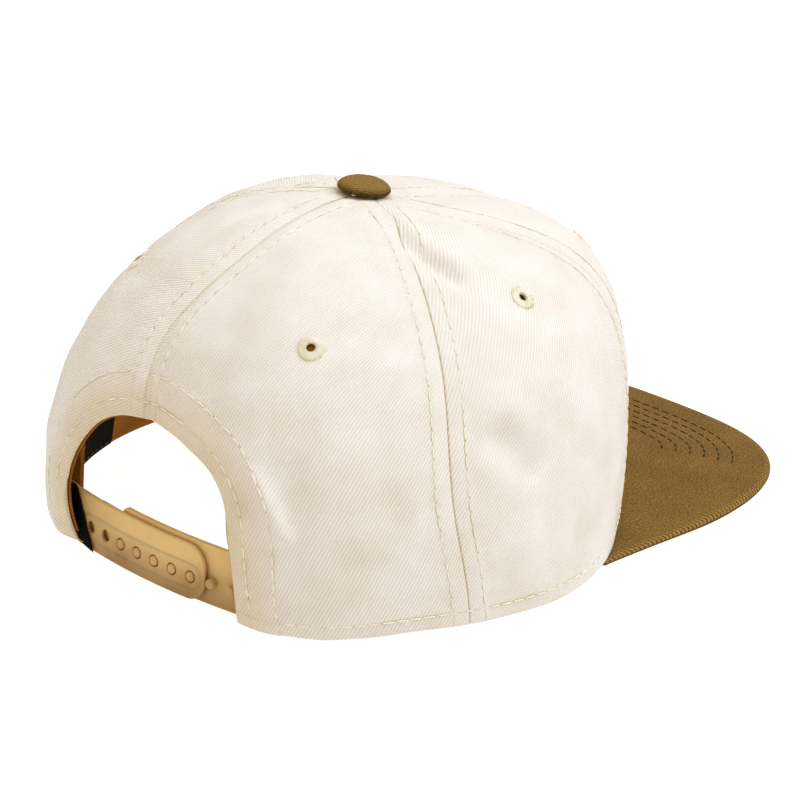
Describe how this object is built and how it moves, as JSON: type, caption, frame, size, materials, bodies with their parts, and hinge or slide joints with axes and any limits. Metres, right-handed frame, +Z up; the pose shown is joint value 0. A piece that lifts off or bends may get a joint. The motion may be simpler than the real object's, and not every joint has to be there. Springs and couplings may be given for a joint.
{
  "type": "snapback cap",
  "caption": "Flat-peaked cloth cap with a panelled crown, a covered button, stitched eyelets, a sweatband and a plastic snap strap across the back opening.",
  "frame": {"origin": "middle of the bounding box, on the surface that the cap rests on", "axes": "+Z up; the peak points to -Y and the strap is at +Y; the wearer's right is -X"},
  "size_m": [0.1848, 0.2488, 0.1161],
  "materials": {
    "twill_ecru": "ecru cotton twill with fine diagonal ribs",
    "twill_brown": "olive-brown cotton twill",
    "thread_cream": "cream stitched thread",
    "band_tan": "tan cotton binding and band",
    "plastic_tan": "satin, slightly see-through tan plastic",
    "woven_black": "black woven ribbon, plain"
  },
  "bodies": {
    "root": {"panel_front_right": "twill_ecru", "eyelet_front_right": "thread_cream", "panel_side_right": "twill_ecru", "eyelet_side_right": "thread_cream", "panel_back_right": "twill_ecru", "eyelet_back_right": "thread_cream", "panel_back_left": "twill_ecru", "eyelet_back_left": "thread_cream", "panel_side_left": "twill_ecru", "eyelet_side_left": "thread_cream", "panel_front_left": "twill_ecru", "eyelet_front_left": "thread_cream", "peak": "twill_brown", "top_button": "twill_brown", "sweatband": "band_tan", "opening_tape": "band_tan", "inner_label": "woven_black", "side_tab": "woven_black", "strap_left": "plastic_tan", "strap_right": "plastic_tan"}
  },
  "joints": []
}
